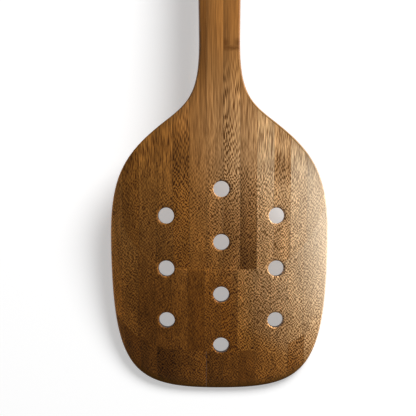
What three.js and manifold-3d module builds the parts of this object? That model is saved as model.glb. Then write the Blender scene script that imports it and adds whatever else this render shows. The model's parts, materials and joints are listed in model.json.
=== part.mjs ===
// A slotted ladle of laminated bamboo. The blank is three plies thick, and each ply is a row of
// narrow staves glued edge to edge. The head is carved to an arched, cambered back and a hollowed
// face, and drilled with drain holes. The long handle bends gently down to a flat heel, with a
// hole to hang it by.
//
// The ladle is shaped in the blank's own frame, in millimetres: x across, y along the staves from
// the tip of the head, z up from the back of the neck. It lies back up, on the underside of the
// tip and on the heel, and at the end it is moved so that z = 0 is the table.
import * as THREE from "three";
import { mergeVertices } from "three/addons/utils/BufferGeometryUtils.js";
import Module from "manifold-3d";

const wasm = await Module();
wasm.setup();

// Plan outline
const overallLength = 320;
const headWidth = 82;
const widestFromTip = 57;
const tipFlatness = 34; // reach of the curve's handle along the blunt tip
const sideFlatness = 50; // reach of the curve's handle down each side of the head
const shoulderWidth = 41; // across the two points where the shoulder turns into the neck
const shoulderFromTip = 101.7;
const shoulderAngle = 37.7; // degrees between the shoulder line and straight across
const shoulderRise = 24; // reach of the curve's handles from the widest place to the neck
const shoulderFall = 19.6;
const neckFall = 11.6;
const neckRise = 20.9;
const neckWidth = 15.3;
const neckFromTip = 133;
const handleEndWidth = 20;
const handleEndRound = 9; // length of the rounded end

// Back, face and edge
const handleThickness = 11;
const headWall = 7.1;
const rimWall = 3.6;
const archRadius = 287; // lengthwise arc of the head's back
const archFromTip = 114.7; // where that arc leaves the level neck
const handleBendFromTip = 120; // where the handle starts to bend down from the level neck
const heelLength = 24; // the flat at the end of the handle, where the bend meets the table
const camber = 5.85; // crosswise fall of the back from the middle to the side rims
const bowlFromTip = 60; // where the wall has thinned down from the handle
const tipTaper = 10; // power of the thinning towards the tip: higher keeps it nearer the tip
const edgeRound = 2.5; // width of the rounded edge, seen from above
const edgeSquareness = 2.5; // 2 is an elliptic edge, higher is squarer

// Drain holes and hanging hole
const holeDiameter = 6;
const holePitch = 19.85; // along each column
const columnSpacing = 20.6;
const middleHoles = 4;
const lastHoleFromTip = 17.3;
const drillShift = 0.7; // the drilled pattern sits this far right of the middle
const hangHoleDiameter = 8;
const hangHoleFromEnd = 20;

// Lamination
const plyThickness = 9.67;
const backPlaned = 1.5; // planed off the back ply before carving
const facePlaned = 0.9; // planed off the lip ply
const stavePitch = 6.25;
const glueLine = 0.1;
const backGlueShift = 1.4; // from the middle to the next glue line on its right, in each ply
const coreGlueShift = 0.65;
const lipGlueShift = 1.35;
const plies = [
  { name: "back", handleName: "back_grip", shift: backGlueShift },
  { name: "core", handleName: "core_grip", shift: coreGlueShift },
  { name: "lip", handleName: "heel", shift: lipGlueShift },
];

// Bamboo tones, and the staves of each ply from left to right
const tones = { pale: 0xc79a63, honey: 0xa97b45, tan: 0x94683a, brown: 0x74491f };
const staveTones = {
  back: "honey brown tan tan brown tan honey tan brown pale honey pale pale",
  core: "honey pale tan tan honey brown tan brown pale honey tan pale pale",
  lip: "tan brown tan brown tan honey tan tan brown tan tan brown pale",
};

// Fineness of the facets
const tipSteps = 12;
const shoulderSteps = 8;
const neckSteps = 7;
const handleSteps = 8;
const heelSteps = 1;
const endSteps = 6;
const crossPlaces = [0, 0.25, 0.45, 0.62, 0.76, 0.88, 1]; // share of the way out to the edge
const edgeSteps = 4;
const holeSides = 24;

const headHalf = headWidth / 2;
const blankDepth = plies.length * plyThickness - backPlaned - facePlaned;
const arcDrop = (radius, run) => radius - Math.sqrt(radius ** 2 - Math.max(0, run) ** 2);
const heelFromTip = overallLength - heelLength;
const bendRun = heelFromTip - handleBendFromTip;
const bendDrop = blankDepth - handleThickness;
const handleBendRadius = (bendRun ** 2 + bendDrop ** 2) / (2 * bendDrop);

// How much the head's carving, rather than the handle's bar, shapes a place along the ladle.
const carving = (y) => THREE.MathUtils.smoothstep(neckFromTip - y, 0, neckFromTip - bowlFromTip);

// Height of the back: level at the neck, one long arc to the tip with the sides falling away, and
// one flatter arc to the end of the handle.
function backHeight(x, y) {
  const arch = arcDrop(archRadius, archFromTip - y) + arcDrop(handleBendRadius, y - handleBendFromTip);
  return -arch - camber * carving(y) * (x / headHalf) ** 4;
}

// Thickness as carved: a bar at the handle, a wall in the head, thin towards the rims.
function carvedThickness(x, y) {
  const tipNearness = Math.max(0, 1 - y / archFromTip);
  const fullness = (1 - Math.min(1, (x / headHalf) ** 4)) * (1 - tipNearness ** tipTaper);
  const wall = rimWall + (headWall - rimWall) * fullness;
  return handleThickness + (wall - handleThickness) * carving(y);
}

// Height of the face, which stops at the underside of the blank: that leaves the flat heel, and a
// narrow land under the tip.
function faceHeight(x, y) {
  return Math.max(backHeight(x, y) - carvedThickness(x, y), -blankDepth);
}

// Half of the plan outline, from the tip round the right-hand side to the end of the handle, as
// points with the direction into the wood and the place on the middle line that each row starts at.
function halfOutline() {
  const tip = new THREE.Vector2(0, 0);
  const widest = new THREE.Vector2(headHalf, widestFromTip);
  const shoulder = new THREE.Vector2(shoulderWidth / 2, shoulderFromTip);
  const neck = new THREE.Vector2(neckWidth / 2, neckFromTip);
  const end = new THREE.Vector2(handleEndWidth / 2, overallLength - handleEndRound);
  const heelStart = heelFromTip + edgeRound; // the first section that is flat underneath all over
  const heel = neck.clone().lerp(end, (heelStart - neckFromTip) / (end.y - neckFromTip));
  const roundEnd = new THREE.Vector2(0, overallLength);
  const lean = THREE.MathUtils.degToRad(180 - shoulderAngle);
  const alongShoulder = new THREE.Vector2(Math.cos(lean), Math.sin(lean));
  const alongHandle = end.clone().sub(neck).normalize();
  const along = new THREE.Vector2(0, 1);
  const across = new THREE.Vector2(1, 0);
  const quarter = 0.55; // handle of a curve that is close to a quarter of an ellipse
  const reach = (from, direction, length) => from.clone().addScaledVector(direction, length);
  const straight = (from, to) => [from, from.clone().lerp(to, 1 / 3), from.clone().lerp(to, 2 / 3), to];
  const curves = [
    [tip, reach(tip, across, tipFlatness), reach(widest, along, -sideFlatness), widest],
    [widest, reach(widest, along, shoulderRise), reach(shoulder, alongShoulder, -shoulderFall), shoulder],
    [shoulder, reach(shoulder, alongShoulder, neckFall), reach(neck, alongHandle, -neckRise), neck],
    straight(neck, heel),
    straight(heel, end),
    [end, reach(end, alongHandle, handleEndRound * quarter),
      reach(roundEnd, across, (handleEndWidth / 2) * quarter), roundEnd],
  ].map((points) => new THREE.CubicBezierCurve(...points));
  const steps = [tipSteps, shoulderSteps, neckSteps, handleSteps, heelSteps, endSteps];
  const outline = [{ point: tip, inward: along, middle: edgeRound }];
  curves.forEach((curve, part) => {
    for (let i = 1; i <= steps[part]; i++) {
      const t = i / steps[part];
      const point = curve.getPoint(t);
      const tangent = curve.getTangent(t);
      const inward = new THREE.Vector2(-tangent.y, tangent.x);
      let middle = point.y + inward.y * edgeRound;
      if (part === 0) middle = THREE.MathUtils.lerp(edgeRound, widestFromTip, t);
      if (part === curves.length - 1) middle = THREE.MathUtils.lerp(end.y, overallLength - edgeRound, t);
      outline.push({ point, inward, middle });
    }
  });
  outline[outline.length - 1].inward.set(0, -1);
  return outline;
}

// One side of the section at a place on the outline, from the middle line out to the edge. side is
// 1 for the back and -1 for the face. The last point is the edge itself.
function sectionRows({ point, inward, middle }, side) {
  const rows = [];
  const rimX = point.x + inward.x * edgeRound;
  const rimY = point.y + inward.y * edgeRound;
  const add = (x, y, fullness) => {
    const back = backHeight(x, y);
    const face = faceHeight(x, y);
    rows.push([x, y, (back + face) / 2 + side * fullness * (back - face) / 2]);
  };
  for (const place of crossPlaces) {
    add(place * rimX, THREE.MathUtils.lerp(middle, rimY, place ** 2), 1);
  }
  for (let i = 1; i <= edgeSteps; i++) {
    const out = Math.sin(((i / edgeSteps) * Math.PI) / 2);
    const fullness = (1 - out ** edgeSquareness) ** (1 / edgeSquareness);
    add(rimX - inward.x * edgeRound * out, rimY - inward.y * edgeRound * out, fullness);
  }
  return rows;
}

// A closed mesh as a solid for cutting, with shared vertices merged and collapsed faces left out.
function solidFrom(geometry) {
  const bare = new THREE.BufferGeometry();
  bare.setAttribute("position", geometry.getAttribute("position"));
  bare.setIndex(geometry.getIndex());
  const merged = mergeVertices(bare, 1e-4);
  const corners = merged.getIndex().array;
  const kept = [];
  for (let i = 0; i < corners.length; i += 3) {
    const [a, b, c] = corners.slice(i, i + 3);
    if (a !== b && b !== c && c !== a) kept.push(a, b, c);
  }
  const vertProperties = new Float32Array(merged.getAttribute("position").array);
  return new wasm.Manifold(new wasm.Mesh({ numProp: 3, vertProperties, triVerts: new Uint32Array(kept) }));
}

// A cut solid as a flat-shaded geometry.
function geometryFrom(solid) {
  const { vertProperties, triVerts } = solid.getMesh();
  const geometry = new THREE.BufferGeometry();
  geometry.setAttribute("position", new THREE.BufferAttribute(vertProperties, 3));
  geometry.setIndex(new THREE.BufferAttribute(triVerts, 1));
  const flat = geometry.toNonIndexed();
  flat.computeVertexNormals();
  return flat;
}

// The carved ladle before it is drilled: sections lofted from the tip to the end of the handle.
function carvedLadle() {
  const sections = halfOutline().map((place) => {
    const back = sectionRows(place, 1);
    const face = sectionRows(place, -1);
    const right = [...back, ...face.slice(0, -1).reverse()];
    const left = right.slice(1, -1).reverse().map(([x, y, z]) => [-x, y, z]);
    return [...right, ...left];
  });
  const round = sections[0].length;
  const index = [];
  for (let k = 0; k + 1 < sections.length; k++) {
    for (let m = 0; m < round; m++) {
      const a = k * round + m;
      const b = k * round + ((m + 1) % round);
      index.push(a, b, b + round, a, b + round, a + round);
    }
  }
  const geometry = new THREE.BufferGeometry();
  geometry.setAttribute("position", new THREE.Float32BufferAttribute(sections.flat(2), 3));
  geometry.setIndex(index);
  return solidFrom(geometry);
}

// A drill through the whole blank, square to it.
function drill(diameter, x, y) {
  const bit = new THREE.CylinderGeometry(diameter / 2, diameter / 2, 4 * blankDepth, holeSides);
  bit.rotateX(Math.PI / 2).translate(x, y, 0);
  return solidFrom(bit);
}

// Drain holes in three columns. The outer columns have one hole fewer and sit half a pitch along.
function drainHoles() {
  const bits = [];
  for (const column of [-1, 0, 1]) {
    const count = middleHoles - Math.abs(column);
    const first = lastHoleFromTip + Math.abs(column) * (holePitch / 2);
    for (let i = 0; i < count; i++) {
      bits.push(drill(holeDiameter, drillShift + column * columnSpacing, first + i * holePitch));
    }
  }
  return bits;
}

// The block of the blank that one stave fills, less half a glue line on each side.
function staveBlock(left, right, bottom, top) {
  const width = right - left - glueLine;
  const depth = top - bottom - glueLine;
  const block = new THREE.BoxGeometry(width, 2 * overallLength, depth);
  block.translate((left + right) / 2, overallLength / 2, (top + bottom) / 2);
  return solidFrom(block);
}

// The staves of a ply, as their glue lines and their places from the middle stave: negative to the
// left, positive to the right. A strip under half a pitch at the rim stays part of its neighbour.
function staveRow(shift) {
  const outer = headWidth; // well clear of both sides
  const reach = headHalf - stavePitch / 2;
  const first = Math.ceil((-reach - shift) / stavePitch);
  const last = Math.floor((reach - shift) / stavePitch);
  const row = [];
  for (let place = first; place <= last + 1; place++) {
    const left = place === first ? -outer : shift + (place - 1) * stavePitch;
    const right = place > last ? outer : shift + place * stavePitch;
    row.push({ place, left, right });
  }
  return row;
}

// A stave's place in words: mid, l1, l2 and so on to the left, r1, r2 and so on to the right.
function placeName(place) {
  if (place === 0) return "mid";
  return place < 0 ? `l${-place}` : `r${place}`;
}

function staveMesh(name, solid, tone) {
  const material = new THREE.MeshStandardMaterial({ color: tones[tone], roughness: 0.55, metalness: 0 });
  const mesh = new THREE.Mesh(geometryFrom(solid), material);
  mesh.name = name;
  return mesh;
}

// Every stave of the drilled ladle. Where the carving leaves a stave in two, at the narrow neck or
// under the arch, the piece that is left in the handle is a stave of its own.
function staves(ladle) {
  const meshes = [];
  const taken = new Set();
  const firstGlue = backPlaned - plyThickness;
  plies.forEach(({ name, handleName, shift }, layer) => {
    const isFirst = layer === 0;
    const isLast = layer === plies.length - 1;
    const top = isFirst ? plyThickness : firstGlue - (layer - 1) * plyThickness;
    const bottom = isLast ? -2 * blankDepth : firstGlue - layer * plyThickness;
    const toneNames = staveTones[name].split(" ");
    const middleTone = (toneNames.length - 1) / 2;
    for (const { place, left, right } of staveRow(shift)) {
      const cut = ladle.intersect(staveBlock(left, right, bottom, top));
      const tone = toneNames.at((middleTone + place) % toneNames.length);
      for (const piece of cut.decompose()) {
        const isInHandle = piece.boundingBox().min[1] > shoulderFromTip;
        let label = `${isInHandle ? handleName : name}_stave_${placeName(place)}`;
        while (taken.has(label)) label += "b";
        taken.add(label);
        meshes.push(staveMesh(label, piece, tone));
      }
    }
  });
  return meshes;
}

const bits = [...drainHoles(), drill(hangHoleDiameter, 0, overallLength - hangHoleFromEnd)];
const drilled = bits.reduce((ladle, bit) => ladle.subtract(bit), carvedLadle());

// Centred over the origin, on the table.
const ladle = new THREE.Group();
ladle.name = "slotted_ladle";
ladle.add(...staves(drilled));
for (const stave of ladle.children) stave.position.set(0, -overallLength / 2, blankDepth);

export default ladle;
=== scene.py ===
# %% [markdown]
# # A slotted ladle of laminated bamboo
#
# The real ladle is cut from a small glued board: three plies of narrow bamboo staves, side by side.
# A saw gives it its outline, carving and sanding give it an arched back and a hollow face, and a
# drill makes the drain holes. This lesson keeps that order. One carved body is worked out as a
# surface, it is drilled, and it is sawn back into its staves along the glue planes, so that each
# stave is a piece of its own, with its own colour and its own grain.

import json

import bmesh
import bpy
import numpy as np
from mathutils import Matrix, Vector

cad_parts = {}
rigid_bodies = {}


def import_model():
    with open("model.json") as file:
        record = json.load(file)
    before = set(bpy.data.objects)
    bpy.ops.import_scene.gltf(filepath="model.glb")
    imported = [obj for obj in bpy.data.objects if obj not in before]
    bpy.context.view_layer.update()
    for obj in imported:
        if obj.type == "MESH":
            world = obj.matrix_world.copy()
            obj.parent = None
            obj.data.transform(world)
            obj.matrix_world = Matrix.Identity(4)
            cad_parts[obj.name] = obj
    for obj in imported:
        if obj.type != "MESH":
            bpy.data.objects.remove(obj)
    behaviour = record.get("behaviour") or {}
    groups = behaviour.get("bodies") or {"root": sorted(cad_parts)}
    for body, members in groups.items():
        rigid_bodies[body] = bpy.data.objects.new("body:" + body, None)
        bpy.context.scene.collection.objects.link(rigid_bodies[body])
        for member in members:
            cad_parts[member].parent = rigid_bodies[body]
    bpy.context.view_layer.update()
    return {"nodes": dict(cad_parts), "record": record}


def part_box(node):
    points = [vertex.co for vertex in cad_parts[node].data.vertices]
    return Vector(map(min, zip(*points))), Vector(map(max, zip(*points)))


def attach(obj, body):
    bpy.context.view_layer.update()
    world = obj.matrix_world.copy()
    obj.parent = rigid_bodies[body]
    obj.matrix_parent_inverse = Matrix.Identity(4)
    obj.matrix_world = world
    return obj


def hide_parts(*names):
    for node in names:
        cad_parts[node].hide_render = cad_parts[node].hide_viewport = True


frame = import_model()
print("staves in the packed model:", len(frame["nodes"]))

# %% [markdown]
# ## The board's own ruler
#
# A maker measures a board from its own edges, so the shapes below are worked out in millimetres in
# the board's frame: x across the staves, y along them from the tip of the head, z up from the back
# of the neck. Only the last step moves a shape into the scene, in metres, where z = 0 is the table.

# %% From the board to the table
MM = 0.001
LENGTH = 320.0
PLY = 9.67
PLANED_BACK, PLANED_FACE = 1.5, 0.9  # what the plane takes off the outer plies
BLANK_DEPTH = 3 * PLY - PLANED_BACK - PLANED_FACE
BOARD_SHIFT = np.array([0.0, -LENGTH / 2, BLANK_DEPTH])


def on_table(points):
    """Board millimetres to scene metres: half the length off y, the board's depth onto z, times 0.001."""
    return (np.asarray(points, float) + BOARD_SHIFT) * MM


def on_board(points):
    """Scene metres to board millimetres, the same steps backwards."""
    return np.asarray(points, float) / MM - BOARD_SHIFT


print("depth of the blank: %.2f mm" % BLANK_DEPTH)

# %% [markdown]
# ## The back and the face as height functions
#
# The head's back is one long arc from the level neck to the tip, and its sides fall away. The handle
# is a flatter arc the other way, down to a heel on the table. A sculpted mesh could follow this by
# eye, but the carved surface has to cut the flat glue planes in the right places, because that is
# what draws the two curved lines across the head. So it is a formula: a height for every (x, y).

# %% Heights of the carved surfaces
HEAD_HALF = 41.0
NECK_AT, BOWL_AT = 133.0, 60.0
ARCH_AT, ARCH_RADIUS = 114.7, 287.0
BEND_AT, HEEL_AT = 120.0, LENGTH - 24.0
HANDLE_THICK, HEAD_WALL, RIM_WALL = 11.0, 7.1, 3.6
SIDE_FALL = 5.85  # how far the head's back falls from its middle to its sides
BEND_DROP = BLANK_DEPTH - HANDLE_THICK
BEND_RADIUS = ((HEEL_AT - BEND_AT) ** 2 + BEND_DROP**2) / (2 * BEND_DROP)


def rise(value, start, length):
    """An S-curve from 0 where the value is at start to 1 a length further on: three t squared less two
    t cubed, where t is the share of that length, kept between 0 and 1."""
    t = np.clip((value - start) / length, 0.0, 1.0)
    return t * t * (3.0 - 2.0 * t)


def arc_drop(radius, run):
    """How far an arc has fallen after a run from its level start: R minus the root of R^2 - run^2."""
    return radius - np.sqrt(radius**2 - np.maximum(run, 0.0) ** 2)


def carving(y):
    """1 in the bowl of the head, 0 in the handle, with an S-curve from the bowl to the neck."""
    return 1.0 - rise(y, BOWL_AT, NECK_AT - BOWL_AT)


def back_height(x, y):
    """The two arcs, and in the head a crosswise fall with the fourth power of x."""
    arch = arc_drop(ARCH_RADIUS, ARCH_AT - y) + arc_drop(BEND_RADIUS, y - BEND_AT)
    return -arch - SIDE_FALL * carving(y) * (x / HEAD_HALF) ** 4


def face_height(x, y):
    """The back less the wall, but never below the blank. The wall thins towards the sides with the
    fourth power of x, and towards the tip with the tenth power of the nearness to it."""
    tip_nearness = np.maximum(0.0, 1.0 - y / ARCH_AT)
    fullness = (1.0 - np.minimum(1.0, (x / HEAD_HALF) ** 4)) * (1.0 - tip_nearness**10)
    wall = RIM_WALL + (HEAD_WALL - RIM_WALL) * fullness
    thick = HANDLE_THICK + (wall - HANDLE_THICK) * carving(y)
    return np.maximum(back_height(x, y) - thick, -BLANK_DEPTH)


print("bend radius of the handle: %.0f mm" % BEND_RADIUS)
print("fall of the back from neck to tip: %.1f mm" % -back_height(0.0, 0.0))

# %% [markdown]
# ## The outline
#
# Seen from above, half of the ladle is five smooth curves: blunt tip, shoulder, neck, a straight
# taper along the handle and a rounded end. A Bezier curve object could draw them, but the surface
# also needs the direction into the wood at each place, for the rounded edge, so the curves are
# worked out here together with their directions.

# %% The five curves
WIDEST_AT = 57.0
SHOULDER, SHOULDER_LEAN = np.array([20.5, 101.7]), 37.7
NECK_HALF, END_HALF, END_ROUND = 7.65, 10.0, 9.0
TIP_PULLS, SHOULDER_PULLS = (34.0, 50.0), (24.0, 19.6)  # from a curve's two ends to its inner points
NECK_PULLS, END_PULLS = (11.6, 20.9), (4.95, 5.5)
CURVE_STEPS = (64, 40, 36, 72, 24)


def outline_curves():
    """Four points for each curve from the tip to the handle's end: its two ends, and between them two
    points that lie a pull away from the ends, in the direction that the outline has there."""
    lean = np.radians(180.0 - SHOULDER_LEAN)
    up_shoulder = np.array([np.cos(lean), np.sin(lean)])
    widest = np.array([HEAD_HALF, WIDEST_AT])
    neck, end = np.array([NECK_HALF, NECK_AT]), np.array([END_HALF, LENGTH - END_ROUND])
    third = (end - neck) / 3
    up_handle = (end - neck) / np.linalg.norm(end - neck)
    return [
        [(0, 0), (TIP_PULLS[0], 0), widest - (0, TIP_PULLS[1]), widest],
        [widest, widest + (0, SHOULDER_PULLS[0]), SHOULDER - SHOULDER_PULLS[1] * up_shoulder, SHOULDER],
        [SHOULDER, SHOULDER + NECK_PULLS[0] * up_shoulder, neck - NECK_PULLS[1] * up_handle, neck],
        [neck, neck + third, end - third, end],
        [end, end + END_PULLS[0] * up_handle, (END_PULLS[1], LENGTH), (0, LENGTH)],
    ]


print("curves of the outline:", len(outline_curves()))

# %% Half of the plan outline
EDGE = 0.7  # width of the eased edge


def bezier(points, t):
    """Four points weighted (1-t)^3, 3t(1-t)^2, 3t^2(1-t), t^3, and the unit direction of the curve."""
    a, b, c, d = (np.asarray(p, float) for p in points)
    t = t[:, None]
    place = (1 - t) ** 3 * a + 3 * t * (1 - t) ** 2 * b + 3 * t**2 * (1 - t) * c + t**3 * d
    way = (1 - t) ** 2 * (b - a) + 2 * t * (1 - t) * (c - b) + t**2 * (d - c)
    return place, way / np.linalg.norm(way, axis=1, keepdims=True)


def half_outline():
    """Places from the tip to the handle's end, the way into the wood at each, and where on the middle
    line the row of points to that place starts: level with it, or in even steps at the two ends."""
    places, inwards, middles = [], [], []
    end_from = LENGTH - END_ROUND
    last = len(CURVE_STEPS) - 1
    for number, (points, steps) in enumerate(zip(outline_curves(), CURVE_STEPS)):
        t = np.arange(0 if number == 0 else 1, steps + 1) / steps
        place, way = bezier(points, t)
        inward = np.stack([-way[:, 1], way[:, 0]], axis=1)
        middle = place[:, 1] + inward[:, 1] * EDGE
        if number == 0:
            middle = EDGE + (WIDEST_AT - EDGE) * t
        if number == last:
            middle = end_from + (LENGTH - EDGE - end_from) * t
        places.append(place)
        inwards.append(inward)
        middles.append(middle)
    return np.concatenate(places), np.concatenate(inwards), np.concatenate(middles)


outline, inward, middle_line = half_outline()
print("outline places:", len(outline), "widest half: %.2f mm" % outline[:, 0].max())

# %% [markdown]
# ## The carved body
#
# One closed surface with two parameters: the first runs along the outline, the second once round the
# section, over the back, round the right edge, along the face and round the left edge. Across the
# middle a point lies on the height functions. In the last 0.7 mm the back and the face come together
# in a soft superellipse, which is what a light sanding leaves. A box with a Bevel modifier would be
# quicker, but its wall couldn't thin and arch as the carving does.

# %% The surface of the undrilled ladle
CROWDING = 0.85  # below 1 the points across stand closer together towards the edge
SQUARENESS = 2.5  # power of the superellipse, where 2 is a plain ellipse


def carved_surface(across=34, round_steps=10):
    """Grid (along the outline, round the section) of points on the carved body, in millimetres. y bends
    from the middle line to the outline with the square of the way out. On the eased edge half the wall
    is the root of 1 less the way out, both to the power of the superellipse."""
    inner = outline + inward * EDGE
    flat = np.linspace(0.0, 1.0, across) ** CROWDING
    x_flat = flat[None, :] * inner[:, :1]
    y_flat = middle_line[:, None] + (inner[:, 1:] - middle_line[:, None]) * flat[None, :] ** 2
    out = np.sin(np.linspace(0.0, 1.0, round_steps + 1)[1:] * np.pi / 2)
    x = np.concatenate([x_flat, inner[:, :1] - inward[:, :1] * EDGE * out], axis=1)
    y = np.concatenate([y_flat, inner[:, 1:] - inward[:, 1:] * EDGE * out], axis=1)
    full = np.concatenate([np.ones(across), (1.0 - out**SQUARENESS) ** (1 / SQUARENESS)])
    back, face = back_height(x, y), face_height(x, y)
    centre, half = (back + face) / 2, (back - face) / 2 * full
    top = np.stack([x, y, centre + half], axis=2)
    under = np.stack([x, y, centre - half], axis=2)
    right = np.concatenate([top, under[:, -2::-1]], axis=1)
    left = right[:, -2:0:-1] * (-1.0, 1.0, 1.0)
    return np.concatenate([right, left], axis=1)


print("grid of the carved surface:", carved_surface().shape[:2])

# %% From grids to a closed mesh
WELD = 1e-7  # metres


def tube_mesh(name, grids):
    """Closed tubes as one mesh: each grid is (rings, round), its rows joined to the next and its last
    column to its first. Rings that have shrunk to a line or a point are welded shut."""
    points, faces, start = [], [], 0
    for grid in grids:
        rings, around = grid.shape[:2]
        number = start + np.arange(rings * around).reshape(rings, around)
        turned = np.roll(number, -1, axis=1)
        quads = np.stack([number[:-1], turned[:-1], turned[1:], number[1:]], axis=2)
        points.append(on_table(grid.reshape(-1, 3)))
        faces.append(quads.reshape(-1, 4))
        start += rings * around
    mesh = bpy.data.meshes.new(name)
    mesh.from_pydata(np.concatenate(points).tolist(), [], np.concatenate(faces).tolist())
    welded = bmesh.new()
    welded.from_mesh(mesh)
    bmesh.ops.remove_doubles(welded, verts=welded.verts, dist=WELD)
    bmesh.ops.recalc_face_normals(welded, faces=welded.faces)
    welded.to_mesh(mesh)
    welded.free()
    return mesh


def put_in_scene(name, data):
    """A new object at the origin for a mesh, a lamp or a camera."""
    made = bpy.data.objects.new(name, data)
    bpy.context.scene.collection.objects.link(made)
    return made


body = put_in_scene("carved_body", tube_mesh("carved_body", [carved_surface()]))
print("faces of the carved body:", len(body.data.polygons))

# %% [markdown]
# ## Drilling
#
# A bit goes straight through the board, and then the maker eases the sharp rim with a twist of fine
# paper. A plain cylinder would leave a hard edge that no light catches. So each bit is a surface of
# (ring, angle) whose rings follow the back and the face of the ladle at small offsets and flare out
# there, and one Boolean takes all of them out of the body. The Manifold solver is exact on closed
# meshes like these.

# %% The bits
RIM_OFFSETS = np.array([3.0, 0.06, 0.0, -0.07, -0.18, -0.34, -0.55])  # each ring above the ladle's surface
RIM_FLARES = np.array([0.46, 0.46, 0.34, 0.21, 0.11, 0.035, 0.0])  # how much wider the bit is there
DRILL_X, FIRST_HOLE, COLUMN, PITCH = 0.7, 17.3, 20.6, 19.85
DRAIN_RADIUS, HANG_RADIUS, HANG_FROM_END = 3.0, 4.0, 20.0


def bit(x, y, radius, sides=72):
    """Grid (ring, angle): down the back with the rim's flare, up to the face with the same flare, and
    shut with a point at either end."""
    turn = np.linspace(0.0, 2 * np.pi, sides, endpoint=False)[None, :]
    wide = radius + RIM_FLARES[:, None]
    px, py = x + wide * np.cos(turn), y + wide * np.sin(turn)
    upper = np.stack([px, py, back_height(px, py) + RIM_OFFSETS[:, None]], axis=2)
    lower = np.stack([px, py, face_height(px, py) - RIM_OFFSETS[:, None]], axis=2)[::-1]
    lid = np.broadcast_to([x, y, upper[..., 2].max()], (1, sides, 3))
    floor = np.broadcast_to([x, y, lower[..., 2].min()], (1, sides, 3))
    return np.concatenate([lid, upper, lower, floor])


holes = [(DRILL_X, FIRST_HOLE + row * PITCH, DRAIN_RADIUS) for row in range(4)]
for side in (-1, 1):
    column = DRILL_X + side * COLUMN
    holes += [(column, FIRST_HOLE + (row + 0.5) * PITCH, DRAIN_RADIUS) for row in range(3)]
holes += [(0.0, LENGTH - HANG_FROM_END, HANG_RADIUS)]
bits = put_in_scene("bits", tube_mesh("bits", [bit(*hole) for hole in holes]))
print("bits:", len(holes), "faces:", len(bits.data.polygons))

# %% The drilled body
def boolean(target, tool, operation):
    """The mesh that is left of target after a Boolean with tool."""
    cut = target.modifiers.new("cut", "BOOLEAN")
    cut.solver, cut.operation, cut.object = "MANIFOLD", operation, tool
    done = target.evaluated_get(bpy.context.evaluated_depsgraph_get())
    mesh = bpy.data.meshes.new_from_object(done)
    target.modifiers.remove(cut)
    return mesh


body.data = boolean(body, bits, "DIFFERENCE")
bpy.data.objects.remove(bits)
print("faces of the drilled body:", len(body.data.polygons))

# %% [markdown]
# ## Back into staves
#
# The glue lines stand every 6.25 mm across each ply, and each ply starts at its own place, so the
# joints of one ply don't line up with the next. Staves could also be modelled one by one, but then
# their carved surfaces wouldn't meet. So a stave is what the body and one long block have in common.
# The blocks stop 0.01 mm short of each glue plane, and a joint shows as a hairline.

# %% Which block each stave fills
STAVE, HAIR = 6.25, 0.01
OUTERMOST = 6  # the outermost staves of the head, l6 and r6, run out to its sides
FIRST_GLUE = PLANED_BACK - PLY
BEYOND, OVER = 12.0, 1.5  # how far blocks reach past the blank, and past the ends of their staves
PLIES = {  # glue line right of the middle stave, underside and top of the ply
    "back": (1.4, FIRST_GLUE, BEYOND),
    "core": (0.65, FIRST_GLUE - PLY, FIRST_GLUE),
    "lip": (1.35, -BLANK_DEPTH - BEYOND, FIRST_GLUE - PLY),
}
PLIES["heel"] = PLIES["lip"]


def ply_and_place(node):
    """The first and the last word of a stave's name, such as back and r1."""
    words = node.split("_")
    return words[0], words[-1]


def steps_right(node):
    """How many staves right of the middle one a stave lies: mid is 0, l1 is -1, r1 is 1."""
    place = ply_and_place(node)[1]
    return 0 if place == "mid" else int(place[1:]) * (-1 if place[0] == "l" else 1)


def stave_block(node):
    """Lowest and highest corner of the block: glue lines across, glue planes up and down, and along
    it the solid's own reach with a little over."""
    shift, bottom, top = PLIES[ply_and_place(node)[0]]
    steps = steps_right(node)
    left = shift + (steps - 1) * STAVE + HAIR if steps > -OUTERMOST else -2 * HEAD_HALF
    right = shift + steps * STAVE - HAIR if steps < OUTERMOST else 2 * HEAD_HALF
    near, far = (corner[1] / MM + LENGTH / 2 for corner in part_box(node))
    return np.array([left, near - OVER, bottom + HAIR]), np.array([right, far + OVER, top - HAIR])


low, high = stave_block("back_stave_mid")
print("block of the middle back stave:", low.round(2).tolist(), high.round(2).tolist())

# %% Saw the staves
SQUARE, ON_PLANE = 0.999, 1e-6  # how square to the block a sawn face is, and how many metres off it
SHARP = 42.0  # degrees between two faces


def block_grid(low, high):
    """A block as a tube of four rings: a point, the near end, the far end, a point."""
    x = np.array([low[0], high[0], high[0], low[0]])
    z = np.array([low[2], low[2], high[2], high[2]])
    ends = [np.stack([x, np.full(4, y), z], axis=1) for y in (low[1], high[1])]
    centres = [np.broadcast_to(end.mean(axis=0), (4, 3)) for end in ends]
    return np.stack([centres[0], ends[0], ends[1], centres[1]])


def smooth_carved_faces(mesh, low, high):
    """Carved faces are shaded smooth. Sawn faces, which lie on a plane of the block, stay flat."""
    low, high = on_table(low), on_table(high)
    count = len(mesh.polygons)
    normal, centre = np.empty(count * 3), np.empty(count * 3)
    mesh.polygons.foreach_get("normal", normal)
    mesh.polygons.foreach_get("center", centre)
    normal, centre = normal.reshape(-1, 3), centre.reshape(-1, 3)
    sawn = np.zeros(count, bool)
    for axis in (0, 2):
        gap = np.minimum(abs(centre[:, axis] - low[axis]), abs(centre[:, axis] - high[axis]))
        sawn |= (np.abs(normal[:, axis]) > SQUARE) & (gap < ON_PLANE)
    mesh.polygons.foreach_set("use_smooth", ~sawn)
    mesh.set_sharp_from_angle(angle=np.radians(SHARP))


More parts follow.
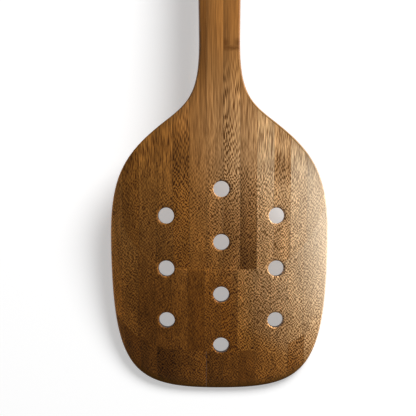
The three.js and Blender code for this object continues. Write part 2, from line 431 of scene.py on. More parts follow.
staves = {}
for node in sorted(frame["nodes"]):
    low, high = stave_block(node)
    block = put_in_scene("block", tube_mesh("block", [block_grid(low, high)]))
    mesh = boolean(body, block, "INTERSECT")
    mesh.name = node
    smooth_carved_faces(mesh, low, high)
    bpy.data.objects.remove(block)
    staves[node] = put_in_scene("bamboo_" + node, mesh)
bpy.data.objects.remove(body)
print("staves sawn:", len(staves), "faces:", sum(len(s.data.polygons) for s in staves.values()))

# %% [markdown]
# ## What each stave knows about itself
#
# Bamboo staves come from many culms. So neighbours differ in shade, one side of a stave is often
# lighter than the other, and some have a darker or paler stretch. Use adds to that: the tip and the
# handle have drunk oil, and the end grain at the rim is dark. Some colour is painted light and shade:
# a pale painted sheen on the right of the head, a lit right and shaded left across the neck, lighter
# staves at the far left, and a darker right edge where the window lamp catches it.
# All this could be a material for each stave. But a mesh can carry attributes, which are numbers for
# each of its points, and a material can read them, so a few finishes serve all 44 staves.

# %% Shades of the staves
# the outermost left staves, l6 and l5 of back and core, are lighter partly as painted light, against the
# shade on the side away from the window lamp
SHADES = {  # how light a stave is beside its finish
    "back": dict(l6=1.8, l5=1.72, l4=1.2, l3=1.06, l2=1.07, l1=1.1, mid=1.05,
                 r1=1.12, r2=1.26, r3=1.37, r4=1.2, r5=1.03, r6=0.93),
    "core": dict(l6=1.85, l5=1.37, l4=1.03, l3=0.93, l2=0.95, l1=0.91, mid=1.0,
                 r1=1.07, r2=1.28, r3=1.18, r4=1.22, r5=1.1, r6=0.95),
    "lip": dict(l6=1.2, l5=1.08, l4=0.85, l3=0.58, l2=0.78, l1=0.97, mid=0.8,
                r1=1.0, r2=1.05, r3=1.25, r4=1.2, r5=0.98, r6=1.05),
}
LEANS = {  # how much lighter the right side of a stave is than its middle: more fibre sits on one side
    "back": dict(l4=-0.2, l2=0.09, mid=-0.02, r1=0.19, r2=0.16, r3=-0.05, r4=-0.1, r5=-0.08),
    "core": dict(l5=-0.15, l4=-0.06, l3=-0.05, l2=0.05, l1=0.08, mid=-0.07,
                 r1=-0.05, r2=-0.1, r3=0.07, r4=-0.1, r5=-0.1),
    "lip": dict(l4=0.1, l3=0.07, l2=0.12, l1=0.18, mid=0.06, r1=0.11, r4=-0.06, r5=-0.1),
}
GRIP_PAINTED_LEANS = {"back_stave_mid": 0.29, "back_stave_r1": 0.05}  # painted light and shade: on the handle these staves grow lighter to the right, as a rounded neck lit from the right would
STRETCHES = {  # middle and half-length along the stave in millimetres, and how much darker it is there
    "back_stave_l4": [(100.0, 30.0, -0.3)],
    "back_stave_l3": [(52.0, 25.0, 0.18)],
    "back_stave_l2": [(88.5, 15.0, 0.42)],
    "back_stave_l1": [(130.0, 34.0, 0.4)],
    "back_stave_r1": [(60.0, 22.0, 0.26)],
    "back_stave_r2": [(40.0, 62.0, 0.5)],
    "back_stave_r3": [(52.0, 30.0, 0.1)],
    "back_stave_r4": [(100.0, 24.0, -0.14), (84.5, 9.0, 0.24)],
    "back_stave_r5": [(94.0, 30.0, -0.2)],
    "core_stave_l5": [(52.0, 14.0, -0.25)],
    "core_stave_l4": [(52.0, 16.0, -0.15)],
    "core_stave_l3": [(54.0, 16.0, -0.12)],
    "core_stave_mid": [(50.0, 12.0, -0.15)],
}


def own(table, node, usual):
    """A stave's own value in a table of plies and places, or the usual value."""
    ply, place = ply_and_place(node)
    return table.get(ply, {}).get(place, usual)


def darkenings(node, y):
    """For each stretch of a stave, how much darker it is at y: its depth times an S-curve that is 1 in
    its middle and 0 at its ends. Below 0 the stretch is paler."""
    return [
        depth * (1.0 - rise(np.abs(y - middle), 0.0, half))
        for middle, half, depth in STRETCHES.get(node, [])
    ]


print("staves with a stretch of their own:", len(STRETCHES))

# %% Grain of the staves
PLAIN_GRAIN = 0.9
GRAINS = {  # how plainly the fibre ends stand out of the ground
    "back": dict(l6=0.3, l5=0.45, l4=0.45, l3=0.42, l2=0.9, l1=0.5, mid=0.8,
                 r1=1.2, r2=0.7, r3=0.7, r4=0.9, r5=0.65, r6=0.6),
    "core": dict(l6=0.35, l5=0.55, l4=0.45, l3=0.38, l2=0.35, l1=0.3, mid=0.55,
                 r2=1.1, r3=1.0, r5=0.8, r6=0.7),
    "lip": dict(l6=0.4, l5=0.45, l4=0.45, l3=1.0, l2=0.6, l1=0.8, mid=0.6,
                r1=0.6, r2=0.35, r3=0.7, r4=0.8, r5=1.6),
}
PLAIN_FADING = 0.9
FADINGS = {"back_stave_l2": 0.77, "back_stave_r1": 0.55}  # how far they fade where fibres lie flat
HAIRS = {  # how plainly a stave's finest fibres show, where that isn't 1
    "back_stave_l2": 0.6, "back_stave_l1": 0.5, "back_stave_mid": 0.5, "back_stave_r1": 0.4,
    "back_stave_r2": 0.6, "core_stave_l3": 1.6, "core_stave_l2": 2.0, "core_stave_l1": 1.8,
    "core_stave_mid": 1.6,
}
KNOTS = {"back_stave_r1": 128.5}  # where a culm's node crosses the stave, from the tip
OPEN_JOINTS = ("core_stave_l2", "core_stave_l1", "core_stave_mid", "core_stave_r1")  # pale glue above these
print("staves with a grain of their own:", sum(len(row) for row in GRAINS.values()))

# %% [markdown]
# ## Where the fibres are cut
#
# The fibres run straight along a stave, but the carved back slopes through them. Near the tip, where
# it is steep, fibre ends come out close together, and on the level neck there are hardly any. A grain
# with even spacing would miss that. So each place gets a count of the fibre ends below it, which the
# finish can follow, and two S-curves say where the fibres lie flat and where the handle is.

# %% Places along the fibres
FIBRE_GAP = 0.23
SHOWN_GAPS = (1.35, 7.0)
MARGIN = 5.0
FLAT, GRIP = (72.0, 20.0), (108.0, 16.0)  # where flat fibres and the handle start, and over what length


def fibre_count(y):
    """How many fibre ends lie between the tip and y, give or take a fixed number: the sum of 1 over
    their spacing. Fibres 0.23 mm apart that are cut at a slope show every 0.23 over the slope, kept
    between 1.35 and 7 mm."""
    steps = np.linspace(-MARGIN, LENGTH + MARGIN, 6601)
    run = np.clip(ARCH_AT - steps, 1e-3, None)
    slope = run / np.sqrt(ARCH_RADIUS**2 - run**2)
    shown = np.clip(FIBRE_GAP / slope, *SHOWN_GAPS)
    return np.interp(y, steps, np.cumsum((steps[1] - steps[0]) / shown))


def lengthwise(y):
    """0 on the slope of the head, 1 on the shoulders and the handle, where the fibres lie flat."""
    return rise(y, *FLAT)


def grip(y):
    """0 on the head, 1 on the handle, with an S-curve through the neck."""
    return rise(y, *GRIP)


print("fibre ends from tip to neck: %.0f" % (fibre_count(NECK_AT) - fibre_count(0.0)))

# %% [markdown]
# ## Painted sheen, dry, oily and cut across
#
# A ladle in use isn't one colour all over. The right side of the head is paler and greyer, and that is
# a painted sheen where the low window lamp would shine on the satin back. The handle is a little paler,
# the tip and the handle have drunk oil, and the fibre ends along the rim have drunk the most, which on the
# eased edge is partly painted shade. Masks could be painted by hand. Short formulas of the place are
# easier to change, and they run on unbroken from one stave to the next.

# %% Painted sheen, dry and oily places
PAINTED_SHEEN_SHARES = {  # how much of the painted sheen around it a stave takes on, where that isn't all of it
    "back_stave_r2": 0.75, "back_stave_r4": 0.65, "back_stave_r5": 0.92, "back_stave_r6": 0.95,
    "lip_stave_r5": 0.35,
}
GRIP_DRYNESS, USUAL_GRIP_DRYNESS = {"mid": 0.08, "r1": 0.08}, 0.03  # on the handle
SHEEN_ACROSS, SHEEN_SLANT = (7.0, 55.0), 0.3  # where the painted sheen starts across the head and over what length, and its slant
SHEEN_FROM_TIP, SHEEN_TO_NECK = (-14.0, 52.0), (80.0, 60.0)  # along it, each a start and a length
OIL_FROM_TIP, OIL_ON_SHOULDER = (32.0, 30.0), (82.0, 16.0)  # the same
OIL_REACH, OIL_RUN = 2.0, 14.0  # how far to the right the oil reaches, and over what length it fades
OIL_SPREAD, OIL_TIP = 1.6, 25.0  # how much further it reaches for each millimetre below a height
SHOULDER_OIL, GRIP_OIL = 0.2, 0.45


def dryness_and_sheen(node, x, y):
    """Painted sheen, paler where the window lamp would shine on the right side of the head: an S-curve
    across it that starts further left the higher up it is, and that fades out towards the tip and the
    neck. The handle is a little paler too, and a dark stretch takes less of both, with the square of its
    light."""
    fade = rise(y, *SHEEN_FROM_TIP) * (1.0 - rise(y, *SHEEN_TO_NECK))
    dry_and_sheen = rise(x + SHEEN_SLANT * y, *SHEEN_ACROSS) * fade * PAINTED_SHEEN_SHARES.get(node, 1.0)
    dry_and_sheen = dry_and_sheen + GRIP_DRYNESS.get(ply_and_place(node)[1], USUAL_GRIP_DRYNESS) * grip(y)
    for darker in darkenings(node, y):
        dry_and_sheen = dry_and_sheen * np.minimum(1.0 - darker, 1.0) ** 2
    return dry_and_sheen


def oiliness(x, y):
    """The tip has drunk more oil than the rest: 1 on the left half near the tip, fading upwards and to
    the right, where it reaches further the nearer it is to the tip. Shoulders and handle took some."""
    reach = OIL_REACH + OIL_SPREAD * np.maximum(OIL_TIP - y, 0.0)
    tip = (1.0 - rise(y, *OIL_FROM_TIP)) * (1.0 - rise(x, reach, OIL_RUN))
    return np.maximum(tip, SHOULDER_OIL * rise(y, *OIL_ON_SHOULDER) + GRIP_OIL * grip(y))


right_side = dryness_and_sheen("back_stave_r6", np.array([38.0]), np.array([60.0]))
print("dryness of the right side: %.2f" % right_side[0])

# %% End grain at the rim, and painted shade on its eased edge
EASED = EDGE + 0.1  # places nearer to the outline than this are on the eased edge
EASED_GAIN, EASED_LOSS = 1.4, 0.2  # on the eased edge, end grain and painted shade are the first times the cut, less the second
END_GRAIN_WIDTH = 3.6
SPARED_FROM, SHOULDER_SPARED = (50.0, 30.0), 0.45  # where the shoulders lose end grain, and how much


def from_rim(x, y):
    """How far each place is from the outline, and how squarely the outline cuts the fibres there, from
    0 where it runs along them to 1 straight across."""
    gap = np.hypot(np.abs(x)[:, None] - outline[None, :, 0], y[:, None] - outline[None, :, 1])
    return gap.min(axis=1), np.abs(inward[gap.argmin(axis=1), 1])


def end_grain_and_edge_shade(x, y, near, across):
    """1 where the outline cuts straight across the fibres, 0 where it runs along them or further than the
    width inside. The eased edge takes more of it, partly as painted shade where the window lamp lights
    that edge. The shoulders take less, apart from the right one's eased edge, which keeps it as painted
    shade."""
    on_edge = np.clip(EASED_GAIN * across - EASED_LOSS, 0.0, 1.0) * (near < EASED)
    cut = np.maximum(np.clip(1.0 - near / END_GRAIN_WIDTH, 0.0, 1.0) * across, on_edge)
    spared = SHOULDER_SPARED * rise(y, *SPARED_FROM) * (y < NECK_AT) * ((near > EASED) | (x < 0.0))
    return cut * (1.0 - spared)


tip_x, tip_y = np.array([0.0]), np.array([1.0])
print("end grain 1 mm inside the tip: %.2f" % end_grain_and_edge_shade(tip_x, tip_y, *from_rim(tip_x, tip_y))[0])

# %% [markdown]
# ## One stave's own numbers
#
# The tables and formulas above now come together, stave by stave: how light it is, how plainly its
# fibre ends and its finest fibres show, and how straight their rows are. This could be done inside the
# material too, but a few lines of numpy are easier to read than the same sums in nodes.

# %% How light a stave is, and how its fibres show
GRIP_SHADE = 0.18  # how much darker the handle is
PAINTED_EDGE_SHADE = 0.3  # painted shade on the right eased edge from the shoulders up, where the window lamp lights it, and as much painted light on the left one
STRETCH_ENDS = 2.5  # how much plainer fibre ends are in a stretch, times its depth
KNOT_FADING, KNOT_REACH = 0.9, 9.0  # how far fibre ends fade up to a knot, and over what length
WANDER, STRAIGHTENING = 1.6, 1.45  # on the slope of the head, and what is lost where fibres lie flat
PATCHES, MORE_PATCHES = 0.3, 0.9
HEAD_HAIRS, SHOULDER_HAIRS, GRIP_HAIRS = 0.3, 1.0, 0.6


def sideways(node, x):
    """-1 at a stave's left glue line, 1 at its right one."""
    shift = PLIES[ply_and_place(node)[0]][0]
    return np.clip(2.0 * ((x - shift) / STAVE - steps_right(node)) + 1.0, -1.0, 1.0)


def stave_shade(node, x, y, near):
    """The stave's shade times its lean and its stretches, darker on the handle, where two staves also lean
    lighter to the right as painted light and shade of the rounded neck. From the shoulders up the eased
    edge has painted shade on the right, where the window lamp lights it, and painted light on the left."""
    lean = own(LEANS, node, 0.0) + GRIP_PAINTED_LEANS.get(node, 0.0) * grip(y)
    shade = own(SHADES, node, 1.0) * (1.0 + lean * sideways(node, x)) * (1.0 - GRIP_SHADE * grip(y))
    for darker in darkenings(node, y):
        shade = shade * (1.0 - darker)
    return shade * (1.0 - PAINTED_EDGE_SHADE * lengthwise(y) * (near < EASED) * np.sign(x))


def fibre_ends(node, y):
    """The stave's grain on the slope of the head. It fades where the fibres lie flat and again on the
    handle, is plainer in a dark stretch, and nearly gone past a knot."""
    fading = FADINGS.get(node, PLAIN_FADING)
    ends = own(GRAINS, node, PLAIN_GRAIN) * (1.0 - fading * lengthwise(y)) * (1.0 - fading * grip(y))
    for darker in darkenings(node, y):
        ends = ends * (1.0 + STRETCH_ENDS * np.maximum(darker, 0.0))
    if node in KNOTS:
        ends = ends * (1.0 - KNOT_FADING * rise(y, KNOTS[node] - KNOT_REACH, KNOT_REACH))
    return ends


def looseness(node, y):
    """How far the rows of fibre ends wander sideways, and how patchy they are. Where the fibres lie
    flat the rows are straighter, less so on a stave whose ends fade less, and those are patchier."""
    fading = FADINGS.get(node, PLAIN_FADING)
    wander = WANDER - STRAIGHTENING * fading**2 * lengthwise(y)
    return wander, PATCHES + MORE_PATCHES * (PLAIN_FADING - fading) * lengthwise(y)


def hairiness(node, y):
    """How plainly the finest fibres show: little on the slope of the head, most on the shoulders and
    less again on the handle, times the stave's own number."""
    more, less = SHOULDER_HAIRS - HEAD_HAIRS, SHOULDER_HAIRS - GRIP_HAIRS
    return HAIRS.get(node, 1.0) * (HEAD_HAIRS + more * lengthwise(y) - less * grip(y))


middle_ends = fibre_ends("back_stave_mid", np.array([40.0, 150.0]))
print("fibre ends of the middle stave on head and handle:", middle_ends.round(2).tolist())

# %% Write it onto the meshes
GOLDEN = 0.618  # steps of this share of 1 spread the seeds evenly
FAR = 99.0  # millimetres from a knot or an open joint, on a stave that has none


def stave_facts(node, number, x, y, z):
    """Every attribute of one stave by name, each with a value for each point or one for all."""
    near, across = from_rim(x, y)
    low, high = stave_block(node)
    wander, patchiness = looseness(node, y)
    return {
        "seed": (number * GOLDEN) % 1.0,
        "shade": stave_shade(node, x, y, near),
        "dryness_and_sheen": dryness_and_sheen(node, x, y),
        "oiliness": oiliness(x, y),
        "end_grain_and_edge_shade": end_grain_and_edge_shade(x, y, near, across),
        "grain": fibre_ends(node, y),
        "along": fibre_count(y),
        "wander": wander,
        "patchiness": patchiness,
        "hairiness": hairiness(node, y),
        "sideways": np.abs(sideways(node, x)),
        "from_glue": np.minimum(x - low[0], high[0] - x),
        "from_knot": y - KNOTS[node] if node in KNOTS else FAR,
        "below_joint": FIRST_GLUE - z if node in OPEN_JOINTS else FAR,
    }


for number, (node, stave) in enumerate(staves.items()):
    mesh = stave.data
    count = len(mesh.vertices)
    spots = np.empty(count * 3)
    mesh.vertices.foreach_get("co", spots)
    facts = stave_facts(node, number, *on_board(spots.reshape(-1, 3)).T)
    for name, values in facts.items():
        row = np.broadcast_to(values, count).astype(np.float32)
        mesh.attributes.new(name, "FLOAT", "POINT").data.foreach_set("value", row)
print("attributes on each stave:", list(facts))

# %% [markdown]
# ## Oiled bamboo
#
# Bamboo is a pale ground full of dark bundles of fibre that run the whole length of a stave. Where
# the carving cuts them at a slope, their ends show as a net of small dashes, and where they lie flat
# they show as streaks. A picture of grain could be laid on, but it would slide over the carved edges.
# So the finish is worked out from the place and from the numbers on the mesh, which holds on every
# side of a stave. The finest fibres, streaks and bands are noises drawn out along it, and roughness
# and bump follow the same grain as the colour.

# %% A short way to add shader nodes
def add_node(tree, kind, inputs, **settings):
    """A node with its settings. An input that is a socket is linked, and any other value is set."""
    made = tree.nodes.new("ShaderNode" + kind)
    for key, value in settings.items():
        setattr(made, key, value)
    for key, value in inputs.items():
        if isinstance(value, bpy.types.NodeSocket):
            tree.links.new(value, made.inputs[key])
        else:
            made.inputs[key].default_value = value
    return made


def empty_tree(owner):
    """The node tree of a material or a world, cleared."""
    owner.use_nodes = True
    owner.node_tree.nodes.clear()
    return owner.node_tree


def remap(tree, value, span, to_span):
    """A value moved from one span to another in proportion, and kept inside it."""
    ends = {"From Min": span[0], "From Max": span[1], "To Min": to_span[0], "To Max": to_span[1]}
    return add_node(tree, "MapRange", {"Value": value, **ends}).outputs["Result"]


def arithmetic(tree, operation, a, b=0.0):
    """One sum on two values, or on the first alone."""
    return add_node(tree, "Math", {0: a, 1: b}, operation=operation).outputs["Value"]


def product(tree, *values):
    """All the values multiplied."""
    result = values[0]
    for value in values[1:]:
        result = arithmetic(tree, "MULTIPLY", result, value)
    return result


def mixed(tree, factor, a, b, blend="MIX"):
    """Colour a, and as much of colour b blended in as the factor says."""
    return add_node(tree, "Mix", {0: factor, 6: a, 7: b}, data_type="RGBA", blend_type=blend).outputs[2]


def attribute(tree, name):
    """A number that the mesh carries."""
    return add_node(tree, "Attribute", {}, attribute_name=name).outputs["Fac"]


print("node helpers ready")

# %% Noises along a stave
USUAL_NOISE = (0.3, 0.7)  # most of a noise lies in this span
HAIR_CELL, STREAK_CELL, BAND_CELL = (0.3, 12.0, 0.45), (0.9, 60.0, 2.0), (2.6, 110.0, 2.6)
KNOT_CELL = (1.5, 2.0, 1.5)
KNOT_SPAN, KNOT_BLUR = (0.2, 0.8), 0.7
KNOT_LINE, LINE_DEPTH = (0.2, 1.4), (0.8, 0.0)  # millimetres from the knot, and how dark it is there
SMUDGE_ABOVE, SMUDGE, SMUDGE_DEPTH = 1.9, (0.4, 2.4), (0.9, 0.0)
SMUDGE_ACROSS = (0.2, 0.7), (0.2, 1.0)  # from the middle of the stave to its sides


def stretched(tree, place, cell):
    """A place in units of a cell given in millimetres along x, y and z."""
    scale = tuple(1.0 / (size * MM) for size in cell)
    return add_node(tree, "Mapping", {"Vector": place, "Scale": scale}).outputs["Vector"]


def noise(tree, place, cell, detail, roughness=0.5):
    """A solid noise with blobs about as large as a cell."""
    blobs = stretched(tree, place, cell)
    inputs = {"Vector": blobs, "Scale": 1.0, "Detail": detail, "Roughness": roughness}
    return add_node(tree, "TexNoise", inputs).outputs["Fac"]


def knot_mark(tree, place):
    """A soft dark line across the stave where the culm had a node, with a smudge above either end."""
    blur = remap(tree, noise(tree, place, KNOT_CELL, 2.0), KNOT_SPAN, (-KNOT_BLUR, KNOT_BLUR))
    away = arithmetic(tree, "ADD", attribute(tree, "from_knot"), blur)
    line = remap(tree, arithmetic(tree, "ABSOLUTE", away), KNOT_LINE, LINE_DEPTH)
    from_smudge = arithmetic(tree, "ABSOLUTE", arithmetic(tree, "SUBTRACT", away, SMUDGE_ABOVE))
    smudge = remap(tree, from_smudge, SMUDGE, SMUDGE_DEPTH)
    sides = remap(tree, attribute(tree, "sideways"), *SMUDGE_ACROSS)
    return arithmetic(tree, "MAXIMUM", line, product(tree, smudge, sides))


print("cells of the finest fibres, streaks and bands in mm:", HAIR_CELL, STREAK_CELL, BAND_CELL)

# %% [markdown]
# ## The net of fibre ends
#
# In a row of fibre ends each one sits between two of the row before, as bricks do. A Voronoi texture
# gives loose cells instead. A wave across times a wave along gives just that brick pattern, and a soft
# noise pushes it about, with a slant of its own on each stave, so that it looks grown.

# %% The net of fibre ends
FIBRE_WIDTH = 1.2
SLANT = 0.35
ALONG_WANDER = 1.6
SWAY_SCALE, PATCH_SCALE = 0.5, 0.22


def wave(tree, turns):
    """The cosine of a number of turns, between -1 and 1."""
    return arithmetic(tree, "COSINE", product(tree, turns, 2 * np.pi))


def flat_noise(tree, lattice, scale):
    """A noise over the rows and columns of fibre ends."""
    inputs = {"Vector": lattice, "Scale": scale, "Detail": 1.0}
    return add_node(tree, "TexNoise", inputs, noise_dimensions="2D").outputs


def fibre_net(tree, place):
    """A wave across times a wave along, both pushed about by a noise and slanted by the stave's seed,
    then stronger and weaker in patches, and as plain as the stave's grain says."""
    in_fibres = stretched(tree, place, [FIBRE_WIDTH] * 3)
    across = add_node(tree, "SeparateXYZ", {"Vector": in_fibres}).outputs["X"]
    slant = remap(tree, attribute(tree, "seed"), (0.0, 1.0), (-SLANT, SLANT))
    along = arithmetic(tree, "ADD", attribute(tree, "along"), product(tree, across, slant))
    lattice = add_node(tree, "CombineXYZ", {"X": across, "Y": along}).outputs["Vector"]
    sway = flat_noise(tree, lattice, SWAY_SCALE)["Color"]
    sway = add_node(tree, "SeparateColor", {"Color": sway}).outputs
    across = arithmetic(tree, "ADD", across, product(tree, sway["Red"], attribute(tree, "wander")))
    along = arithmetic(tree, "ADD", along, product(tree, sway["Green"], ALONG_WANDER))
    patches = remap(tree, flat_noise(tree, lattice, PATCH_SCALE)["Fac"], USUAL_NOISE, (-1.0, 1.0))
    patches = arithmetic(tree, "ADD", product(tree, patches, attribute(tree, "patchiness")), 1.0)
    return product(tree, wave(tree, across), wave(tree, along), patches, attribute(tree, "grain"))


print("fibre ends stand %.1f mm apart across a stave" % FIBRE_WIDTH)

# %% [markdown]
# ## Colour from the ground up
#
# A finisher would stain, bleach and oil the wood one after the other, and the colour here is built in
# much that order: ground and fibre, the tone of the stave, a grey painted sheen on the right of the head
# where the window lamp would shine, oil, then the dark end grain and the knot. One colour ramp would be
# shorter, but it couldn't keep these apart.

# %% The colour of the bamboo
# ground and fibre where the bamboo is paler: a little of it on the handle, and most on the right of the
# head, where it is painted sheen
DRY_AND_SHEEN_GROUND, DRY_AND_SHEEN_FIBRE = (0.82, 0.58, 0.33, 1.0), (0.17, 0.072, 0.015, 1.0)
# the grey of the painted sheen, and the most of it that is mixed in
PAINTED_SHEEN_COLOUR, MOST_PAINTED_SHEEN = (0.51, 0.43, 0.335, 1.0), 0.6
SHEEN_POWER = 5.0  # only where the painted sheen is strongest does it turn grey
OIL_TINT = (1.0, 0.885, 0.6, 1.0)
STREAK_TONES, BAND_TONES = (0.8, 1.2), (0.86, 1.14)
GLUE_LINE, GLUE_TONES = (0.0, 0.3), (0.8, 1.0)  # millimetres from the glue, and the tones there
JOINT_LINE, JOINT_TONES = (0.04, 0.12), (1.4, 1.0)
# the brown of end grain, which on the eased edge is partly painted shade, and of the knot
END_GRAIN_AND_EDGE_SHADE_BROWN, KNOT_BROWN = (0.13, 0.055, 0.007, 1.0), (0.13, 0.045, 0.006, 1.0)


def bamboo_tone(tree, place, streaks):
    """Streaks, the stave's own shade, dark lines of glue at its sides, broad bands, and a pale line
    under an open joint, all multiplied."""
    streak = remap(tree, streaks, USUAL_NOISE, STREAK_TONES)
    glue = remap(tree, attribute(tree, "from_glue"), GLUE_LINE, GLUE_TONES)
    band = remap(tree, noise(tree, place, BAND_CELL, 1.0), USUAL_NOISE, BAND_TONES)
    joint = remap(tree, attribute(tree, "below_joint"), JOINT_LINE, JOINT_TONES)
    tone = product(tree, streak, attribute(tree, "shade"), glue, band, joint)
    return add_node(tree, "CombineColor", {"Red": tone, "Green": tone, "Blue": tone}).outputs["Color"]


def bamboo_colour(tree, place, ground, fibre, dark, streaks):
    """Ground and fibre colours, paler where the dryness and sheen number is high, mixed by how dark the
    grain is and toned. Where it is highest, on the right of the head, a grey painted sheen goes on; oily
    places are yellower, and end grain, partly painted shade on the eased edge, and knots brown."""
    dry_and_sheen = attribute(tree, "dryness_and_sheen")
    ground = mixed(tree, dry_and_sheen, ground, DRY_AND_SHEEN_GROUND)
    fibre = mixed(tree, dry_and_sheen, fibre, DRY_AND_SHEEN_FIBRE)
    colour = mixed(tree, dark, ground, fibre)
    colour = mixed(tree, 1.0, colour, bamboo_tone(tree, place, streaks), "MULTIPLY")
    # painted sheen: the grey that the window lamp would put on the right of the head
    sheen = remap(tree, arithmetic(tree, "POWER", dry_and_sheen, SHEEN_POWER), (0.0, 1.0), (0.0, MOST_PAINTED_SHEEN))
    colour = mixed(tree, sheen, colour, PAINTED_SHEEN_COLOUR)
    colour = mixed(tree, attribute(tree, "oiliness"), colour, OIL_TINT, "MULTIPLY")
    colour = mixed(tree, attribute(tree, "end_grain_and_edge_shade"), colour, END_GRAIN_AND_EDGE_SHADE_BROWN)
    return mixed(tree, knot_mark(tree, place), colour, KNOT_BROWN)


# how much of the painted sheen goes on where it is strongest
print("the driest bamboo is bleached by %.0f %%" % (100 * MOST_PAINTED_SHEEN))

# %% The bamboo finishes
FINISH_COLOURS = {  # ground and fibre
    "bamboo_pale": ((0.51, 0.220, 0.046, 1.0), (0.09, 0.029, 0.004, 1.0)),
    "bamboo_honey": ((0.48, 0.200, 0.040, 1.0), (0.085, 0.027, 0.0035, 1.0)),
    "bamboo_tan": ((0.455, 0.187, 0.035, 1.0), (0.08, 0.024, 0.003, 1.0)),
    "bamboo_brown": ((0.415, 0.163, 0.026, 1.0), (0.072, 0.021, 0.0025, 1.0)),
}
HAIR_SPAN, HAIR_DEPTH, GRAIN_SPAN = (0.34, 0.66), (-0.5, 0.5), (-0.45, 0.45)
SATIN, DULL = (0.42, 0.52), 0.95  # roughness of the oiled surface, and of end grain
DULL_FROM = (0.0, 0.6)  # end grain over which it turns dull
GLOSS = 0.2
BUMP_STRENGTH, BUMP_DEPTH = 0.3, 0.05 * MM


def bamboo(name, ground, fibre):
    """Oiled bamboo of one colour. Every stave's pattern is moved by its seed, so that no two match."""
    material = bpy.data.materials.new(name)
    tree = empty_tree(material)
    seed = attribute(tree, "seed")
    shift = add_node(tree, "CombineXYZ", {"X": seed, "Y": seed, "Z": seed}).outputs["Vector"]
    place = add_node(tree, "TexCoord", {}).outputs["Object"]
    place = add_node(tree, "VectorMath", {0: place, 1: shift}, operation="ADD").outputs["Vector"]
    hairs = noise(tree, place, HAIR_CELL, 2.0)
    streaks = noise(tree, place, STREAK_CELL, 5.0, roughness=0.7)
    hair = product(tree, remap(tree, hairs, HAIR_SPAN, HAIR_DEPTH), attribute(tree, "hairiness"))
    dark = remap(tree, arithmetic(tree, "ADD", fibre_net(tree, place), hair), GRAIN_SPAN, (1.0, 0.0))
    cut = remap(tree, attribute(tree, "end_grain_and_edge_shade"), DULL_FROM, (SATIN[0], DULL))
    height = arithmetic(tree, "SUBTRACT", hairs, dark)
    bump = add_node(tree, "Bump", {"Height": height, "Strength": BUMP_STRENGTH, "Distance": BUMP_DEPTH})
    surface = {
        "Base Color": bamboo_colour(tree, place, ground, fibre, dark, streaks),
        "Roughness": arithmetic(tree, "MAXIMUM", remap(tree, streaks, USUAL_NOISE, SATIN), cut),
        "Normal": bump.outputs["Normal"],
        "Specular IOR Level": GLOSS,
    }
    shader = add_node(tree, "BsdfPrincipled", surface)
    add_node(tree, "OutputMaterial", {"Surface": shader.outputs["BSDF"]})
    return material


finishes = {name: bamboo(name, *colours) for name, colours in FINISH_COLOURS.items()}
slots = {part["node"]: part["material_slot"] for part in frame["record"]["subparts"]}
for node, stave in staves.items():
    stave.data.materials.clear()
    stave.data.materials.append(finishes[slots[node]])
    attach(stave, "root")
    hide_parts(node)
print("finishes:", {name: sum(slot == name for slot in slots.values()) for name in finishes})

# %% [markdown]
# ## The table
#
# The ladle lies on a plain white table. White paint alone comes out grey in soft light, and more light
# would bleach the bamboo. So the table's material asks what kind of ray meets it. Rays that carry light
# find a plain pale top. The camera finds a top that glows as well, more the further it is from the
# middle, so that the shadow stays beside the ladle and the rest turns white.

# %% The table
WHITE = (1.0, 1.0, 1.0, 1.0)
TABLE_HALF = 1.5
TABLE_GREY, SHOWN_GREY = (0.8, 0.8, 0.8, 1.0), (0.7, 0.7, 0.7, 1.0)
GLOW_REACH, GLOW = (0.25, 0.7), (0.4, 1.0)  # metres from the middle of the table, and the glow there


def looked_at(tree):
    """1 for camera rays and for what gloss and glass show, 0 for rays that carry light."""
    path = add_node(tree, "LightPath", {})
    seen = arithmetic(tree, "MAXIMUM", path.outputs["Is Camera Ray"], path.outputs["Is Glossy Ray"])
    return arithmetic(tree, "MAXIMUM", seen, path.outputs["Is Transmission Ray"])


corners = np.array([(-1, -1, 0), (1, -1, 0), (1, 1, 0), (-1, 1, 0)]) * TABLE_HALF
table_mesh = bpy.data.meshes.new("table")
table_mesh.from_pydata(corners.tolist(), [], [(0, 1, 2, 3)])
table = put_in_scene("table", table_mesh)

white_top = bpy.data.materials.new("white_table")
tree = empty_tree(white_top)
lit_top = add_node(tree, "BsdfDiffuse", {"Color": TABLE_GREY}).outputs["BSDF"]
shown_top = add_node(tree, "BsdfDiffuse", {"Color": SHOWN_GREY}).outputs["BSDF"]
place = add_node(tree, "TexCoord", {}).outputs["Object"]
away = add_node(tree, "VectorMath", {0: place}, operation="LENGTH").outputs["Value"]
glow = add_node(tree, "Emission", {"Color": WHITE, "Strength": remap(tree, away, GLOW_REACH, GLOW)})
shown_top = add_node(tree, "AddShader", {0: shown_top, 1: glow.outputs["Emission"]}).outputs["Shader"]
both = add_node(tree, "MixShader", {0: looked_at(tree), 1: lit_top, 2: shown_top})
add_node(tree, "OutputMaterial", {"Surface": both.outputs["Shader"]})
table_mesh.materials.append(white_top)
print("table half-width: %.1f m" % TABLE_HALF)

# %% [markdown]
# ## Two lamps
#
# A low window lamp on the right shows the arch of the back, because it leaves the left side in shade.
# The same lamp would throw a long shadow over the table. Light linking can give each lamp its own
# objects, so a second lamp, higher and larger, lights only the table and leaves a short soft shadow.

# %% The two lamps
HEAD_MIDDLE = np.array([0.0, -0.09, 0.01])


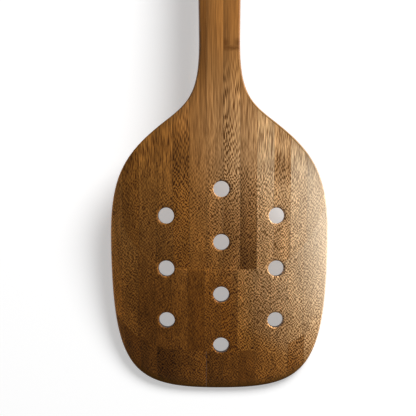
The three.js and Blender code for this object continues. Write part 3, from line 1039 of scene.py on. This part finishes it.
def soft_lamp(name, level, away, turn, climb, size, lit):
    """A disk lamp aimed at the head from a turn and a climb in degrees. level is how bright white would
    be if it faced the lamp: pi squared times the distance squared makes that its power in watts. Only
    the objects in lit take its light, and everything casts its shadow."""
    lamp = bpy.data.lights.new(name, "AREA")
    lamp.shape, lamp.size, lamp.energy = "DISK", size, level * (np.pi * away) ** 2
    turn, climb = np.radians(turn), np.radians(climb)
    towards = np.array([np.cos(climb) * np.cos(turn), np.cos(climb) * np.sin(turn), np.sin(climb)])
    stand = put_in_scene(name, lamp)
    stand.location = HEAD_MIDDLE + away * towards
    stand.rotation_euler = (np.pi / 2 - climb, 0.0, turn + np.pi / 2)
    takers = bpy.data.collections.new(name + "_lights")
    for taker in lit:
        takers.objects.link(taker)
    stand.light_linking.receiver_collection = takers
    return stand


lamps = [
    soft_lamp("window_lamp", level=3.0, away=0.9, turn=34.0, climb=15.0, size=0.36, lit=staves.values()),
    soft_lamp("table_lamp", level=1.15, away=1.6, turn=56.0, climb=41.0, size=0.85, lit=[table]),
]
print("lamps:", {lamp.name: lamp.location.to_tuple(3) for lamp in lamps})

# %% [markdown]
# ## Sky
#
# A weak even sky fills the shade. A picture of a room could do that too, but satin bamboo shows no
# detail of it. The world tells rays apart as the table does: light rays get the weak fill, the camera
# sees white, and gloss sees a bright horizon under a dark ceiling, so that the back doesn't look milky.

# %% The sky
FILL = 0.22
HORIZON, SKY_SHOWN = (0.05, 0.25), (1.0, 0.03)  # how steeply a ray points up, and what gloss shows there

sky = bpy.data.worlds.new("sky")
bpy.context.scene.world = sky
tree = empty_tree(sky)
ray = add_node(tree, "TexCoord", {}).outputs["Generated"]
height = add_node(tree, "SeparateXYZ", {"Vector": ray}).outputs["Z"]
from_camera = add_node(tree, "LightPath", {}).outputs["Is Camera Ray"]
brightness = arithmetic(tree, "MAXIMUM", remap(tree, height, HORIZON, SKY_SHOWN), from_camera)
fill = add_node(tree, "Background", {"Color": WHITE, "Strength": FILL}).outputs["Background"]
backdrop = add_node(tree, "Background", {"Color": WHITE, "Strength": brightness}).outputs["Background"]
both = add_node(tree, "MixShader", {0: looked_at(tree), 1: fill, 2: backdrop})
add_node(tree, "OutputWorld", {"Surface": both.outputs["Shader"]})
print("light from the sky: %.2f" % FILL)

# %% [markdown]
# ## Camera
#
# The camera looks straight down on the head. Its lens and its height belong together: a nearer camera
# with a shorter lens would show more of the walls inside the holes, and would make the arched middle
# of the head larger beside its tip.

# %% The camera
SENSOR, LENS = 36.0, 99.04
CAMERA_PLACE = (-0.00426, -0.09025, 0.44661)

camera = bpy.data.cameras.new("camera")
camera.sensor_width, camera.lens = SENSOR, LENS
camera_stand = put_in_scene("camera", camera)
camera_stand.location = CAMERA_PLACE
bpy.context.scene.camera = camera_stand
bpy.context.scene.view_settings.view_transform = "Standard"
print("camera looks straight down from %.3f m" % camera_stand.location.z)
